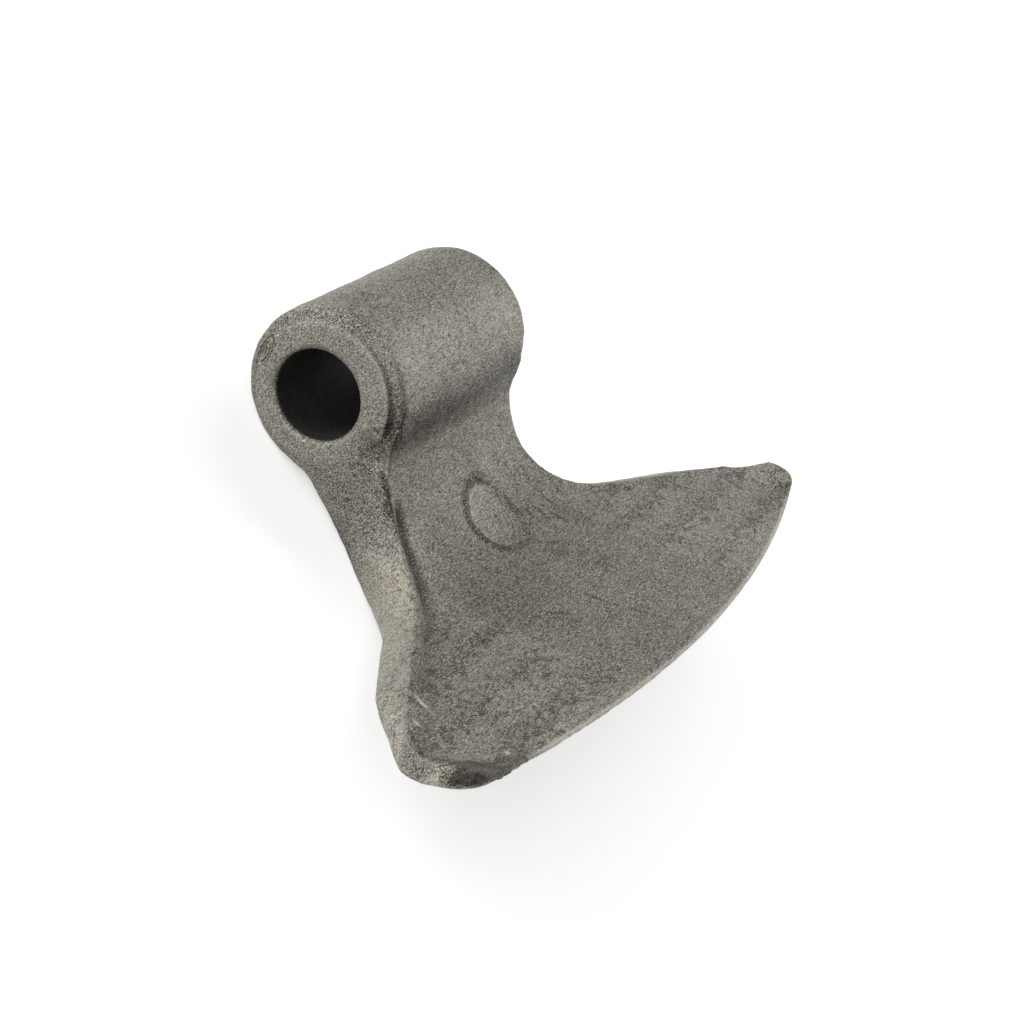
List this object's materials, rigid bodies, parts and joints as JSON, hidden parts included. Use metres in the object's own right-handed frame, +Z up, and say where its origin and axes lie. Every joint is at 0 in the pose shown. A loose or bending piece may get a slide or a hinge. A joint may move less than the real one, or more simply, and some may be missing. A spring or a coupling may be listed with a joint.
{
  "type": "mulcher hammer blade",
  "caption": "Forged flail hammer for a mulcher: a round boss with a through bore, a short neck and a wide blade with a rim, turned-up corners and an arched cutting edge.",
  "frame": {"origin": "under the middle of the part, on the surface it rests on", "axes": "X along the bore, +Y from the boss towards the cutting edge, +Z up, out of the blade's face; the hammer lies on its back, on its boss and the rounded knuckle behind the blade"},
  "size_m": [0.198, 0.1089, 0.0486],
  "materials": {
    "forged_steel": "raw shot-blasted forging skin, warm grey, coarse grain"
  },
  "bodies": {
    "root": {"hammer_blade": "forged_steel"}
  },
  "joints": []
}
